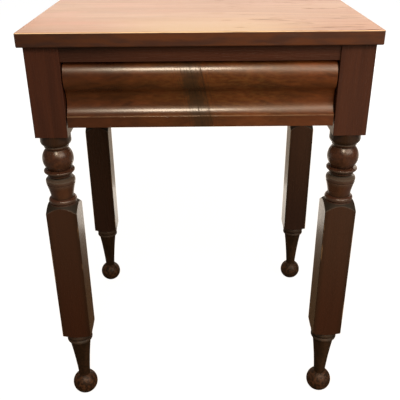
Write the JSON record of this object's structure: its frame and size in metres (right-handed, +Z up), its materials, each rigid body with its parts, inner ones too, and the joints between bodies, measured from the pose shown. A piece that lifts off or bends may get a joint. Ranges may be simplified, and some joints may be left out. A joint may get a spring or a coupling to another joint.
{
  "type": "tavern table with drawer",
  "caption": "Small wooden table on turned and blocked legs with ball feet, with an ogee-fronted drawer that slides out under the top.",
  "frame": {"origin": "on the floor, under the centre of the top", "axes": "+Z up, -Y to the front where the drawer opens, +X to the right seen from the front"},
  "size_m": [0.548, 0.476, 0.73],
  "materials": {
    "top_mahogany": "worn polished mahogany, faded by light",
    "mahogany": "dark polished mahogany",
    "crotch_veneer": "glossy figured mahogany veneer",
    "drawer_front_core": "stained wood under the veneer",
    "poplar": "unfinished old poplar",
    "iron": "dark iron"
  },
  "bodies": {
    "table": {"table_top": "top_mahogany", "leg_front_left": "mahogany", "leg_front_right": "mahogany", "leg_rear_left": "mahogany", "leg_rear_right": "mahogany", "apron_left": "mahogany", "apron_right": "mahogany", "apron_back": "mahogany", "top_rail": "mahogany", "lower_rail": "poplar", "drawer_runner_left": "poplar", "drawer_runner_right": "poplar", "drawer_guide_left": "poplar", "drawer_guide_right": "poplar", "drawer_kicker_left": "poplar", "drawer_kicker_right": "poplar", "glue_blocks": "poplar", "top_screws": "iron"},
    "drawer": {"drawer_front": "drawer_front_core", "drawer_ogee_veneer": "crotch_veneer", "drawer_strip_veneer": "crotch_veneer", "drawer_side_left": "poplar", "drawer_side_right": "poplar", "drawer_back": "poplar", "drawer_bottom": "poplar", "drawer_nails": "iron"}
  },
  "joints": [
    {"name": "drawer_slide", "type": "slide", "parent": "table", "child": "drawer", "axis": [0, -1, 0], "range_m": [0, 0.3]}
  ]
}
